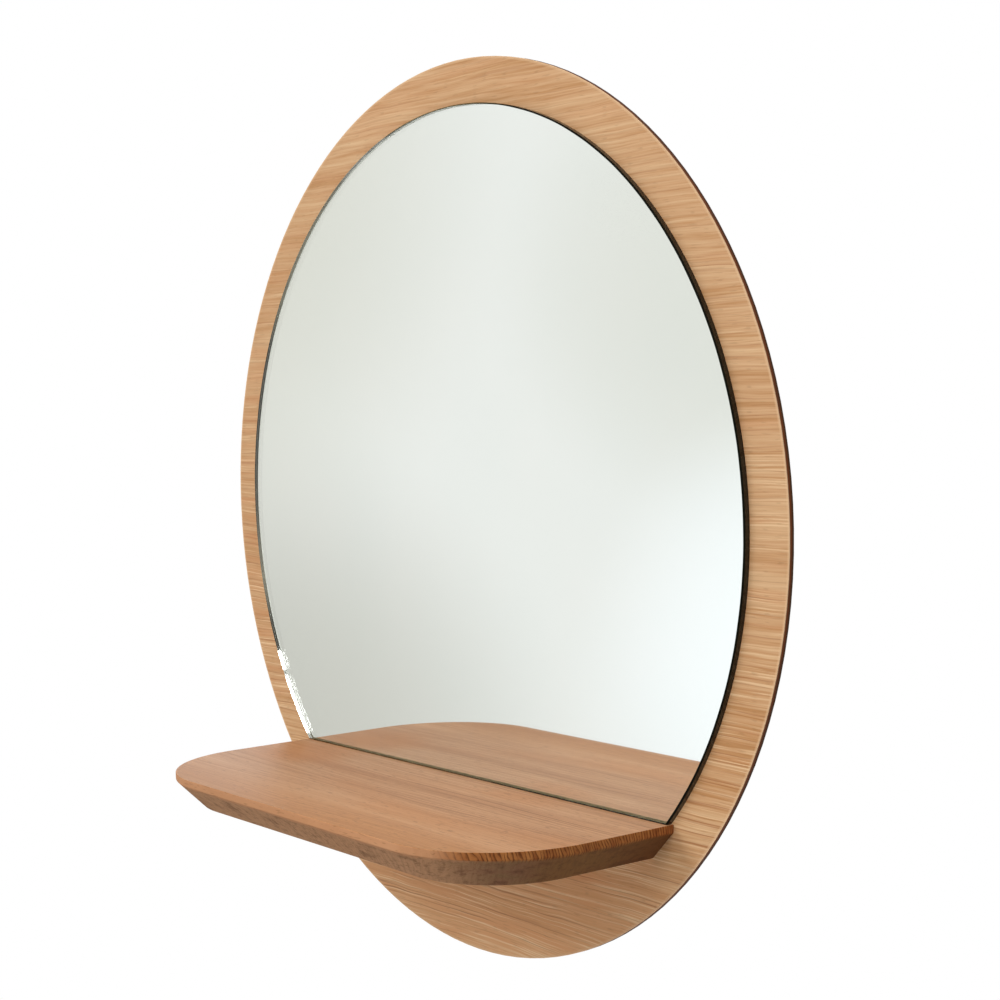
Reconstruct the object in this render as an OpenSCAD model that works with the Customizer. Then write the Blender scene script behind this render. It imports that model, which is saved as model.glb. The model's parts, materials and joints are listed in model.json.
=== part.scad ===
// Round wall mirror with an oak shelf.
// A thin veneered disc carries a round mirror that is cut straight where it stands on the shelf.
// The shelf is screwed on from behind through a batten, and the whole hangs on a split wall rail.
//
// Frame: X runs along the wall, Z is up and the front looks along -Y.
// Y = 0 is the wall. The origin lies midway between the two screw holes of the wall rail.

/* [Backboard] */
// Diameter of the round backboard
board_d = 500; // [450:5:700]
// Thickness of the board's core
core_t = 1.8; // [1.2:0.2:9]
// Thickness of each oak veneer, front and back
veneer_t = 0.6; // [0.4:0.1:1.2]

/* [Mirror] */
// Width of the oak ring that shows round the mirror
ring_w = 25; // [15:1:35]
// Thickness of the glass without its coating
glass_t = 3.9; // [2.9:0.1:5.9]
// Ground arris along the edges of the glass
arris = 0.8; // [0.2:0.1:1]
// Thickness of the silver coating with its protective paint
coating_t = 0.1; // [0.1:0.05:0.3]
// Thickness of the mirror tape
tape_t = 0.2; // [0.2:0.1:1.6]
// Width of each strip of tape
tape_w = 25; // [12:1:40]
// How far the middles of the two outer strips stay inside the sides of the glass
tape_margin = 65; // [45:1:90]
// How far the ends of the strips stay inside the edge of the glass
tape_inset = 10; // [4:1:30]

/* [Shelf] */
// Height of the shelf's top above the lowest point of the board
shelf_rise = 99; // [85:1:125]
// How far the shelf's ends pass the foot of the mirror, on each side
shelf_overlap = 1; // [0:0.5:15]
// Depth of the shelf from the board to its front edge
shelf_d = 125; // [90:1:180]
// Thickness of the shelf
shelf_t = 20; // [18:0.5:30]
// Height of the upright edge above the bevel
land_h = 4; // [1:0.5:8]
// How far the bevel sets the underside in
bevel_in = 16; // [5:1:25]
// Radius of the front corners, seen from above
corner_r = 67; // [30:1:85]

/* [Wall rails] */
// Thickness of the hanging rail, which is the board's distance from the wall
rail_t = 15; // [13:0.5:25]
// Height of each rail before its hook edge is cut
rail_h = 40; // [34:1:55]
// Length of the two rails
rail_l = 240; // [200:5:280]
// Play between the wall rail and the back of the board
rail_play = 0.5; // [0.2:0.1:1.5]
// Height of the wall rail's front edge above its screw holes
hook_rise = 24; // [22:1:27]
// Depth of the wall screws below the highest point of the board
hang_drop = 130; // [115:5:190]
// Distance between the two wall screws
wall_hole_span = 160; // [100:5:180]
// Diameter of the holes for the wall screws
wall_hole_d = 5; // [4:0.5:6]
// Diameter of the countersinks for the wall screws
wall_sink_d = 10; // [8:0.5:11]

/* [Shelf fixing] */
// Height of the batten behind the shelf
batten_h = 44; // [30:1:60]
// Length of the batten behind the shelf
batten_l = 250; // [240:5:280]
// Distance between the two outer shelf screws
outer_screw_span = 170; // [150:5:185]
// Distance between the two inner shelf screws
inner_screw_span = 70; // [40:5:90]
// Diameter of the shelf screws
screw_d = 4; // [3.5:0.5:5]
// Diameter of the screws' heads
screw_head_d = 8; // [7:0.5:10]
// Length of the shelf screws
screw_l = 50; // [35:1:70]
// Width of the cross recess in the screws' heads
recess_w = 0.9; // [0.6:0.1:1.2]
// Depth of the cross recess in the screws' heads
recess_h = 1.6; // [1:0.1:2]
// Distance between the two dowels
dowel_span = 120; // [100:5:140]
// Diameter of the dowels
dowel_d = 8; // [6:1:10]
// Length of the dowels
dowel_l = 30; // [24:1:40]
// How deep the dowels sit in the batten
dowel_seat = 8; // [5:0.5:9]
// Chamfer at the dowels' ends
dowel_chamfer = 1; // [0.5:0.1:1.5]

/* [Wall pads] */
// Diameter of the felt pads
pad_d = 22; // [12:1:24]
// Thickness of the felt pads
pad_t = 2; // [1:0.5:4]
// Distance between the two pads
pad_span = 212; // [205:1:215]

/* [Fits] */
// Gap round screws and dowels in their holes
fit_gap = 0.1; // [0.05:0.05:0.3]
// Room left in front of the ends of screws and dowels in their blind holes
end_gap = 1; // [0.5:0.5:3]

/* [Hidden] */
$fn = 96;
fine_fn = 256; // sides of the large circles
cut = 1; // how far a cutting shape reaches past the face that it cuts
strips = 5; // strips of tape behind the mirror
side_names = ["left", "right"];

// The layers from the wall to the front, as distances from the wall.
board_back = rail_t;
core_back = board_back + veneer_t;
core_front = core_back + core_t;
board_front = core_front + veneer_t;
tape_front = board_front + tape_t;
coating_front = tape_front + coating_t;

// Heights in the part's frame: of the board's middle, of the shelf's top and of its middle.
board_z = hang_drop - board_d / 2;
shelf_top_z = hang_drop - board_d + shelf_rise;
shelf_mid_z = shelf_top_z - shelf_t / 2;

// The mirror, cut off by foot_drop below its middle, and the shelf that carries it.
mirror_r = board_d / 2 - ring_w;
foot_drop = board_z - shelf_top_z;
foot_w = 2 * sqrt(pow(mirror_r, 2) - pow(foot_drop, 2));
shelf_w = foot_w + 2 * shelf_overlap;
corner_x = shelf_w / 2 - corner_r;
corner_y = shelf_d - corner_r;
tape_pitch = 2 * (mirror_r - tape_margin) / (strips - 1);

// The fixing behind the shelf.
batten_t = rail_t - pad_t;
batten_back = pad_t;
dowel_back = board_back - dowel_seat;
screw_spots = [-outer_screw_span / 2, -inner_screw_span / 2, inner_screw_span / 2, outer_screw_span / 2];
sink_h = (screw_head_d - screw_d) / 2;
wall_sink_h = (wall_sink_d - wall_hole_d) / 2;

// Turns a shape that stands along Z so that it reaches from the wall towards the front,
// and sets its foot at a distance from the wall.
module forward(from_wall, x = 0, z = 0) {
    translate([x, -from_wall, z]) rotate([90, 0, 0]) children();
}

// A round layer of the backboard, with holes for what passes through it to the shelf.
module board_layer(from_wall, thickness) {
    difference() {
        forward(from_wall, z = board_z) cylinder(d = board_d, h = thickness, $fn = fine_fn);
        shelf_bores();
    }
}

// The holes through the batten and the board, and into the shelf, for screws and dowels.
module shelf_bores() {
    for (x = screw_spots)
        forward(batten_back - cut, x, shelf_mid_z)
            cylinder(d = screw_d + 2 * fit_gap, h = cut + screw_l + end_gap);
    for (side = [-1, 1])
        forward(dowel_back - end_gap, side * dowel_span / 2, shelf_mid_z)
            cylinder(d = dowel_d + 2 * fit_gap, h = dowel_l + 2 * end_gap);
}

// The outline of the mirror, a circle cut straight at the shelf's top.
// Its middle is the middle of the board, and inset draws it in all round.
module mirror_outline(inset) {
    intersection() {
        circle(r = mirror_r - inset, $fn = fine_fn);
        translate([-mirror_r, inset - foot_drop]) square([2 * mirror_r, mirror_r + foot_drop]);
    }
}

module front_veneer() {
    color("#CFA77D") board_layer(core_front, veneer_t);
}

module board_core() {
    color("#5A3218") board_layer(core_back, core_t);
}

module back_veneer() {
    color("#D2B088") board_layer(board_back, veneer_t);
}

// The glass is turned with an arris at the front and the back of its rim,
// then cut straight at its foot, where the same arris is ground again.
module mirror_glass() {
    color("#B9C4BC") forward(coating_front, z = board_z)
        difference() {
            rotate_extrude($fn = fine_fn) polygon([
                [0, 0],
                [mirror_r - arris, 0],
                [mirror_r, arris],
                [mirror_r, glass_t - arris],
                [mirror_r - arris, glass_t],
                [0, glass_t]
            ]);
            translate([-board_d, -foot_drop, 0]) rotate([90, 0, 90])
                linear_extrude(2 * board_d) polygon([
                    [-board_d, -cut],
                    [arris + cut, -cut],
                    [arris, 0],
                    [0, arris],
                    [0, glass_t - arris],
                    [arris, glass_t],
                    [arris + cut, glass_t + cut],
                    [-board_d, glass_t + cut]
                ]);
        }
}

module mirror_coating() {
    color("#E4E6E2") forward(tape_front, z = board_z)
        linear_extrude(coating_t) mirror_outline(arris);
}

// One upright strip of tape, cut off along the edge of the mirror. The middle strip is under the middle.
module mirror_tape(index) {
    strip_x = (index - (strips + 1) / 2) * tape_pitch;
    color("#8C8C88") forward(board_front, z = board_z)
        linear_extrude(tape_t) intersection() {
            mirror_outline(tape_inset);
            translate([strip_x - tape_w / 2, -board_d / 2]) square([tape_w, board_d]);
        }
}

// The edge of the shelf from its underside to its top, out to a reach from an inner line.
function edge_profile(reach) = [
    [0, 0],
    [reach - bevel_in, 0],
    [reach, shelf_t - land_h],
    [reach, shelf_t],
    [0, shelf_t]
];

// The shelf: a middle with the bevelled front, two ends and two round corners.
module shelf_body() {
    translate([-corner_x, 0, 0]) rotate([90, 0, 90])
        linear_extrude(2 * corner_x) mirror([1, 0]) polygon(edge_profile(shelf_d));
    for (side = [0, 1]) mirror([side, 0, 0]) translate([corner_x, 0, 0]) {
        rotate([90, 0, 0]) linear_extrude(corner_y) polygon(edge_profile(corner_r));
        translate([0, -corner_y, 0]) rotate([0, 0, -90])
            rotate_extrude(angle = 90, $fn = fine_fn) polygon(edge_profile(corner_r));
    }
}

module shelf() {
    color("#BE956E") difference() {
        translate([0, -board_front, shelf_top_z - shelf_t]) shelf_body();
        shelf_bores();
    }
}

module shelf_batten() {
    color("#D9C08F") difference() {
        translate([-batten_l / 2, -board_back, shelf_mid_z - batten_h / 2])
            cube([batten_l, batten_t, batten_h]);
        shelf_bores();
        for (x = screw_spots)
            forward(batten_back, x, shelf_mid_z)
                cylinder(d1 = screw_head_d, d2 = screw_d, h = sink_h);
    }
}

module shelf_dowel(side) {
    color("#D8B98A") forward(dowel_back, side * dowel_span / 2, shelf_mid_z)
        rotate_extrude() polygon([
            [0, 0],
            [dowel_d / 2 - dowel_chamfer, 0],
            [dowel_d / 2, dowel_chamfer],
            [dowel_d / 2, dowel_l - dowel_chamfer],
            [dowel_d / 2 - dowel_chamfer, dowel_l],
            [0, dowel_l]
        ]);
}

// A countersunk wood screw: its head lies flush in the batten and its point ends in the shelf.
module shelf_screw(x) {
    color("#C9CACB") forward(batten_back, x, shelf_mid_z)
        difference() {
            rotate_extrude() polygon([
                [0, 0],
                [screw_head_d / 2, 0],
                [screw_d / 2, sink_h],
                [screw_d / 2, screw_l - screw_d],
                [0, screw_l]
            ]);
            for (turn = [0, 90])
                rotate([0, 0, turn]) translate([-screw_d / 2, -recess_w / 2, -cut])
                    cube([screw_d, recess_w, cut + recess_h]);
        }
}

// Both rails are cut from one stock. The hook edge slopes at 45 degrees, low at the wall.
module hanging_rail() {
    color("#D9C08F") translate([-rail_l / 2, 0, hook_rise - rail_t]) rotate([90, 0, 90])
        linear_extrude(rail_l) polygon([
            [0, 0],
            [-rail_t, rail_t],
            [-rail_t, rail_h],
            [0, rail_h]
        ]);
}

module wall_rail() {
    wall_rail_t = rail_t - rail_play;
    color("#D9C08F") difference() {
        translate([-rail_l / 2, 0, hook_rise - rail_h]) rotate([90, 0, 90])
            linear_extrude(rail_l) polygon([
                [0, 0],
                [0, rail_h - rail_t],
                [-wall_rail_t, rail_h - rail_play],
                [-wall_rail_t, 0]
            ]);
        for (side = [-1, 1]) {
            forward(-cut, side * wall_hole_span / 2) cylinder(d = wall_hole_d, h = wall_rail_t + 2 * cut);
            forward(wall_rail_t - wall_sink_h, side * wall_hole_span / 2)
                cylinder(d1 = wall_hole_d, d2 = wall_sink_d, h = wall_sink_h);
        }
    }
}

module wall_pad(side) {
    color("#8E8A84") forward(0, side * pad_span / 2, shelf_mid_z) cylinder(d = pad_d, h = pad_t);
}

front_veneer();
board_core();
back_veneer();
mirror_glass();
mirror_coating();
for (index = [1 : strips])
    mirror_tape(index);
shelf();
shelf_batten();
for (index = [0, 1])
    shelf_dowel(2 * index - 1);
for (index = [1 : len(screw_spots)])
    shelf_screw(screw_spots[index - 1]);
hanging_rail();
wall_rail();
for (index = [0, 1])
    wall_pad(2 * index - 1);
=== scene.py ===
# %% [markdown]
# # A round wall mirror with an oak shelf
#
# The real object is a thin oak-veneered disc. A round mirror stands on a small oak shelf in front of it,
# and two wooden rails behind it carry the whole on a wall.
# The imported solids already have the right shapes, so this lesson is mostly about finishes:
# veneer, solid oak, the dark heat-cut edge of the board, silvered glass, pine, felt and zinc.
# Every length in Blender is in metres. Y = 0 is the wall and the front looks along -Y.

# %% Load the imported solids
import json
import math

import bpy
from mathutils import Matrix, Quaternion, Vector

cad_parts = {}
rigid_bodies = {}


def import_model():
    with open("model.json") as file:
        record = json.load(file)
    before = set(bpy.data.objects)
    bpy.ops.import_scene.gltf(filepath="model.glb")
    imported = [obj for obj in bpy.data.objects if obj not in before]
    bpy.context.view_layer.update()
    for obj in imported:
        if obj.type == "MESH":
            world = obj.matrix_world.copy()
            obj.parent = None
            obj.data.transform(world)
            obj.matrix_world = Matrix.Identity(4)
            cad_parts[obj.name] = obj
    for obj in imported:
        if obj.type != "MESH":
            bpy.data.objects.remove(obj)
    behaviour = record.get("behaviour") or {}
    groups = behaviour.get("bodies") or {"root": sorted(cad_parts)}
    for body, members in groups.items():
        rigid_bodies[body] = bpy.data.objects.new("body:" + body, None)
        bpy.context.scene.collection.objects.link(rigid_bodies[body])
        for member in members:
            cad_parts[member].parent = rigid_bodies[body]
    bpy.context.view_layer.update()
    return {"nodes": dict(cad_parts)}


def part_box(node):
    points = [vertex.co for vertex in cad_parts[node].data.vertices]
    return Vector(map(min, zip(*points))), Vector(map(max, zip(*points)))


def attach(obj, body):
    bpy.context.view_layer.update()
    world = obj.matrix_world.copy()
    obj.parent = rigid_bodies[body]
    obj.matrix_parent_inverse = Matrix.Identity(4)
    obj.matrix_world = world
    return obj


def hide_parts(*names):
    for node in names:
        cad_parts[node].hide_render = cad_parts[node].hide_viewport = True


for leftover in list(bpy.data.objects):  # Blender's own start-up cube, lamp and camera
    bpy.data.objects.remove(leftover)

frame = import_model()
nodes = frame["nodes"]

# %% [markdown]
# ## Sizes that the finishes need
#
# The board's middle is the middle of its box. The mirror has the same middle, so its radius is the height
# of its highest point above that middle. The patterns below are all drawn round these few values.

# %% Measure the solids
board_low, board_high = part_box("front_veneer")
glass_low, glass_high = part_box("mirror_glass")
middle_z = (board_low.z + board_high.z) / 2
board_r = (board_high.z - board_low.z) / 2
glass_r = glass_high.z - middle_z
foot_drop = middle_z - glass_low.z
face_mm = board_low.y * 1000  # the depth of the board's face
rim_mm = board_r * 1000
print("board radius", round(board_r, 4), "glass radius", round(glass_r, 4))
print("foot of the glass below the middle", round(foot_drop, 4))

# %% [markdown]
# ## The camera
#
# The photo's viewpoint was worked out from the two circles, the shelf and its reflection:
# about 1.1 m away, to the right of the mirror and a little above the shelf.
# Yaw turns the view to the left, pitch tips it down and roll turns the picture.

# %% Place the camera
yaw, pitch, roll = math.radians(52.404), math.radians(-3.299), math.radians(-1.375)
ahead = Vector((-math.sin(yaw) * math.cos(pitch), math.cos(yaw) * math.cos(pitch), math.sin(pitch)))
level = Vector((math.cos(yaw), math.sin(yaw), 0))
upright = level.cross(ahead)
to_right = math.cos(roll) * level + math.sin(roll) * upright
to_top = math.cos(roll) * upright - math.sin(roll) * level

camera_place = (0.8674, -0.6609, -0.0525)
camera = bpy.data.objects.new("camera", bpy.data.cameras.new("camera"))
bpy.context.scene.collection.objects.link(camera)
camera.matrix_world = (
    Matrix.Translation(camera_place) @ Matrix((to_right, to_top, -ahead)).transposed().to_4x4()
)
camera.data.sensor_width = 36
camera.data.lens = 69.212
camera.data.clip_start = 0.02
bpy.context.scene.camera = camera
print("camera at", [round(v, 4) for v in camera.location], "lens", round(camera.data.lens, 3))

# %% [markdown]
# ## Two helpers
#
# Colours are written as the hex codes that a painter reads off a screen. Blender mixes light in linear
# numbers, so one function turns a code to linear. The other helper adds a node to any node tree,
# sets its settings, and fills each input with a number or with a link from another node.

# %% Colour and node helpers
def linear(code):
    parts = [int(code[i:i + 2], 16) / 255 for i in (1, 3, 5)]
    return (*[p / 12.92 if p <= 0.04045 else ((p + 0.055) / 1.055) ** 2.4 for p in parts], 1.0)


def add(tree, kind, inputs=None, stops=None, **settings):
    made = tree.nodes.new(kind)
    for name, value in settings.items():
        setattr(made, name, value)
    for name, value in (inputs or {}).items():
        if isinstance(value, bpy.types.NodeSocket):
            tree.links.new(value, made.inputs[name])
        else:
            made.inputs[name].default_value = value
    for i, (place, code) in enumerate(stops or []):
        stop = made.color_ramp.elements[i] if i < 2 else made.color_ramp.elements.new(place)
        stop.position, stop.color = place, linear(code)
    return made


def new_material(name):
    made = bpy.data.materials.new(name)
    made.use_nodes = True
    made.node_tree.nodes.clear()
    return made, made.node_tree


def dress(material, *names):
    for name in names:
        nodes[name].data.materials.clear()
        nodes[name].data.materials.append(material)
    print(material.name, "on", ", ".join(names))


print("the oak tone #CEA176 in linear numbers:", [round(v, 3) for v in linear("#CEA176")[:3]])

# %% [markdown]
# ## The studio
#
# The photo is cut out on pure white, so the camera sees a white world. What lights the wood is kept apart
# from that: a soft world that is brighter above, in front and to the left, and two soft lamps, one in front
# on the left and a weak one behind.
# Together they light a surface at about the level at which its colour shows as it is written.

# %% Soft light
scene = bpy.context.scene
scene.view_settings.view_transform = "Standard"
world = bpy.data.worlds.new("pale_studio")
scene.world = world
world.use_nodes = True
room = world.node_tree
room.nodes.clear()
toward = add(room, "ShaderNodeTexCoord").outputs["Generated"]
light_side = add(
    room, "ShaderNodeVectorMath", {0: toward, 1: (-0.50, -0.40, 0.77)}, operation="DOT_PRODUCT"
)
level_of_light = add(
    room, "ShaderNodeMapRange",
    {
        "Value": light_side.outputs["Value"], "From Min": -0.8, "From Max": 1.0, "To Min": 0.14,
        "To Max": 0.86
    }
)
soft_light = add(
    room, "ShaderNodeBackground", {"Color": linear("#FFFFFF"), "Strength": level_of_light.outputs["Result"]}
)
print("soft light strongest towards", [round(v, 2) for v in light_side.inputs[1].default_value])

# %% [markdown]
# ## What the mirror sees
#
# A mirror has no look of its own: it shows the room. The photo's mirror shows a pale wall with a few soft
# patches: greyer low on the left, a touch greyer high on the left and on the right, and brightest low on
# the right. Each patch is one direction and the cosine of the angle at which it begins.

# %% Pale room
patches = [
    ((-0.870, -0.445, -0.212), 0.9727, 1.0, "#C1C0B9"),
    ((-0.707, -0.705, 0.054), 0.9904, 1.0, "#DADBD6"),
    ((-0.899, -0.425, 0.102), 0.9727, 1.0, "#D4D3CB"),
    ((-0.653, -0.742, -0.150), 0.9862, 1.0, "#F6FAFD"),
]
wall = linear("#E5E6E4")
for middle, begins, full, code in patches:
    angle = add(room, "ShaderNodeVectorMath", {0: toward, 1: middle}, operation="DOT_PRODUCT")
    share = add(
        room, "ShaderNodeMapRange", {"Value": angle.outputs["Value"], "From Min": begins, "From Max": full},
        interpolation_type="SMOOTHSTEP"
    )
    wall = add(
        room, "ShaderNodeMix", {0: share.outputs["Result"], 6: wall, 7: linear(code)}, data_type="RGBA"
    ).outputs[2]
print("patches in the room:", len(patches))

# %% [markdown]
# The left rim of the glass looks dark between pale stretches: it throws back the unlit side of the room.
# Light that comes by way of the rim has been turned back at least twice inside the glass, at the rim and at
# the silver, and comes from the right. Only such light is given the unlit side, so the mirror stays pale.
# High up, round the lamps, that side is pale again, because there it is the lit ceiling.

# %% Unlit side, by way of the rim
seen_by = add(room, "ShaderNodeLightPath")
twice = add(
    room, "ShaderNodeMapRange", {"Value": seen_by.outputs["Glossy Depth"], "From Min": 1.0, "From Max": 2.0}
)
by_rim = add(
    room, "ShaderNodeMath", {0: twice.outputs["Result"], 1: seen_by.outputs["Is Transmission Ray"]},
    operation="MULTIPLY"
)
apart = add(room, "ShaderNodeSeparateXYZ", {0: toward})
from_right = add(
    room, "ShaderNodeMapRange", {"Value": apart.outputs["X"], "From Min": -0.5, "From Max": -0.3}
)
by_rim = add(
    room, "ShaderNodeMath", {0: by_rim.outputs[0], 1: from_right.outputs["Result"]}, operation="MULTIPLY"
)
height = add(room, "ShaderNodeMapRange", {"Value": apart.outputs["Z"], "From Min": -0.9, "From Max": 0.6})
from_below_up = [
    (0.04, "#807B6A"), (0.09, "#6C6757"), (0.16, "#0D0E08"), (0.42, "#14140D"), (0.60, "#37352A"),
    (0.80, "#8C8675"), (0.92, "#1C1C14"), (0.985, "#1C1C14"), (1.0, "#C7C7BF")
]
unlit = add(room, "ShaderNodeValToRGB", {"Fac": height.outputs["Result"]}, stops=from_below_up)
wall = add(
    room, "ShaderNodeMix", {0: by_rim.outputs[0], 6: wall, 7: unlit.outputs[0]}, data_type="RGBA"
).outputs[2]
print("tones of the unlit side from below up:", len(from_below_up))

# %% [markdown]
# The camera sees the white backdrop. Mirror, glass and metal see the room, and everything matt is lit by
# the soft light. A ray that has already been scattered by something matt counts as matt too.

# %% Which ray sees what
reflected = add(room, "ShaderNodeBackground", {"Color": wall, "Strength": 1.13})
backdrop = add(room, "ShaderNodeBackground", {"Color": linear("#FFFFFF"), "Strength": 1.0})

mirror_like = add(
    room, "ShaderNodeMath",
    {0: seen_by.outputs["Is Glossy Ray"], 1: seen_by.outputs["Is Transmission Ray"]}, operation="MAXIMUM"
)
mirror_like = add(
    room, "ShaderNodeMath", {0: mirror_like.outputs[0], 1: seen_by.outputs["Diffuse Depth"]},
    operation="SUBTRACT", use_clamp=True
)
light_or_room = add(
    room, "ShaderNodeMixShader",
    {0: mirror_like.outputs[0], 1: soft_light.outputs[0], 2: reflected.outputs[0]}
)
all_seen = add(
    room, "ShaderNodeMixShader",
    {0: seen_by.outputs["Is Camera Ray"], 1: light_or_room.outputs[0], 2: backdrop.outputs[0]}
)
add(room, "ShaderNodeOutputWorld", {"Surface": all_seen.outputs[0]})
for seen_part in (reflected, backdrop):
    print("strength of what is seen:", round(seen_part.inputs["Strength"].default_value, 2))

# %% [markdown]
# Each lamp is a flat panel that is aimed at a point. The large one on the left isn't seen in the glass, as
# its hard outline would show in the mirror from below.

# %% Soft lamps
def softbox(name, place, width, height, watts, target, spin=0.0, shines=True):
    light = bpy.data.lights.new(name, "AREA")
    light.shape, light.size, light.size_y, light.energy = "RECTANGLE", width, height, watts
    lamp = bpy.data.objects.new(name, light)
    scene.collection.objects.link(lamp)
    lamp.location = place
    # A lamp that does not shine gives light, but is seen neither in gloss nor through the mirror's glass.
    lamp.visible_camera, lamp.visible_glossy = False, shines
    lamp.visible_transmission = shines
    lamp.rotation_mode = "QUATERNION"
    aim = (Vector(target) - lamp.location).to_track_quat("-Z", "Y")
    lamp.rotation_quaternion = aim @ Quaternion((0, 0, 1), math.radians(spin))
    print(name, "at", [round(v, 2) for v in place], watts, "W")


softbox("softbox_left", (-1.35, -2.15, 1.25), 1.8, 1.3, 30, (0, -0.02, middle_z), shines=False)
softbox("softbox_behind", (-1.90, 1.00, 0.15), 1.3, 0.9, 4.5, (-0.10, -0.10, middle_z))

# %% [markdown]
# Two narrow tubes hang level above the camera. The lower left rim of the glass throws them back as a long
# and a short streak with a grey gap between them, and inside the glass they echo once or twice beside
# the rim.

# %% Tubes
softbox("tube_long", (0.725, -1.1125, 1.30), 0.67, 0.13, 7.8, (0.725, -1.1125, 0), spin=-14.4)
softbox("tube_short", (1.285, -1.285, 1.30), 0.30, 0.13, 4.0, (1.285, -1.285, 0), spin=-22.5)

# %% [markdown]
# ## The floor
#
# A mirror hangs at head height, so the floor lies well below it and hardly shows.
# It is a pale matt plane that takes the object's soft shadow. For the camera and for metal a little light
# of its own lifts it to the white of the backdrop. Glass looks past it into the room.

# %% Floor
reach, floor_z = 1.9, -1.35
corners = [(x * reach, y * reach, floor_z) for x, y in ((-1, -1), (1, -1), (1, 1), (-1, 1))]
floor_mesh = bpy.data.meshes.new("floor")
floor_mesh.from_pydata(corners, [], [(0, 1, 2, 3)])
floor = bpy.data.objects.new("floor", floor_mesh)
scene.collection.objects.link(floor)
floor.visible_transmission = False
floor_paint, tree = new_material("matt_white_floor_paint")
path = add(tree, "ShaderNodeLightPath")
seen = add(
    tree, "ShaderNodeMath", {0: path.outputs["Is Camera Ray"], 1: path.outputs["Is Glossy Ray"]},
    operation="MAXIMUM"
)
lift = add(tree, "ShaderNodeMath", {0: seen.outputs[0], 1: 0.60}, operation="MULTIPLY")
skin = add(
    tree, "ShaderNodeBsdfPrincipled",
    {
        "Base Color": linear("#C6C6C4"), "Roughness": 0.8, "Emission Color": linear("#FFFFFF"),
        "Emission Strength": lift.outputs[0]
    }
)
add(tree, "ShaderNodeOutputMaterial", {"Surface": skin.outputs[0]})
floor_mesh.materials.append(floor_paint)
print("floor", 2 * reach, "m wide at height", floor_z)

# %% [markdown]
# ## Oak veneer, sliced and oiled
#
# The disc is faced with oak veneer whose grain runs level. What the eye sees is soft honey bands a finger
# wide, thin darker streaks a few millimetres apart, short open pores, and pale wavy threads where the
# rays of the wood come to the surface. The threads are plainest near the foot of the disc.
# All of it is drawn from one trick: noise that is stretched along the grain. The height across the grain
# is first bent by slow noise, so that every layer wanders together, as growth rings do.

# %% Grain tools
def place_in_mm(tree):
    spot = add(tree, "ShaderNodeTexCoord").outputs["Object"]
    return add(tree, "ShaderNodeVectorMath", {0: spot, "Scale": 1000.0}, operation="SCALE").outputs[0]


def stretched_noise(tree, spot, size_mm, detail=1.0, roughness=0.5):
    """Soft patches about size_mm long along x, y and z. A size of 0 means endless."""
    squeezed = add(
        tree, "ShaderNodeMapping", {"Vector": spot, "Scale": [1 / s if s else 0.0 for s in size_mm]}
    )
    return add(
        tree, "ShaderNodeTexNoise",
        {"Vector": squeezed.outputs[0], "Scale": 1.0, "Detail": detail, "Roughness": roughness}
    ).outputs[0]


def sum_of(tree, start, *parts):
    """start plus, for each part (value, factor, middle), factor * (value - middle)."""
    total = start
    for value, factor, middle in parts:
        moved = add(tree, "ShaderNodeMath", {0: value, 1: middle}, operation="SUBTRACT").outputs[0]
        total = add(
            tree, "ShaderNodeMath", {0: moved, 1: factor, 2: total}, operation="MULTIPLY_ADD"
        ).outputs[0]
    return total


def stain(tree, colour, pattern, low, high, code, strength=1.0):
    """The colour turns towards the stain where the pattern passes from low to high."""
    share = add(
        tree, "ShaderNodeMapRange",
        {"Value": pattern, "From Min": low, "From Max": high, "To Max": strength},
        interpolation_type="SMOOTHSTEP"
    )
    return add(
        tree, "ShaderNodeMix", {0: share.outputs["Result"], 6: colour, 7: linear(code)}, data_type="RGBA"
    ).outputs[2]


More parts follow.
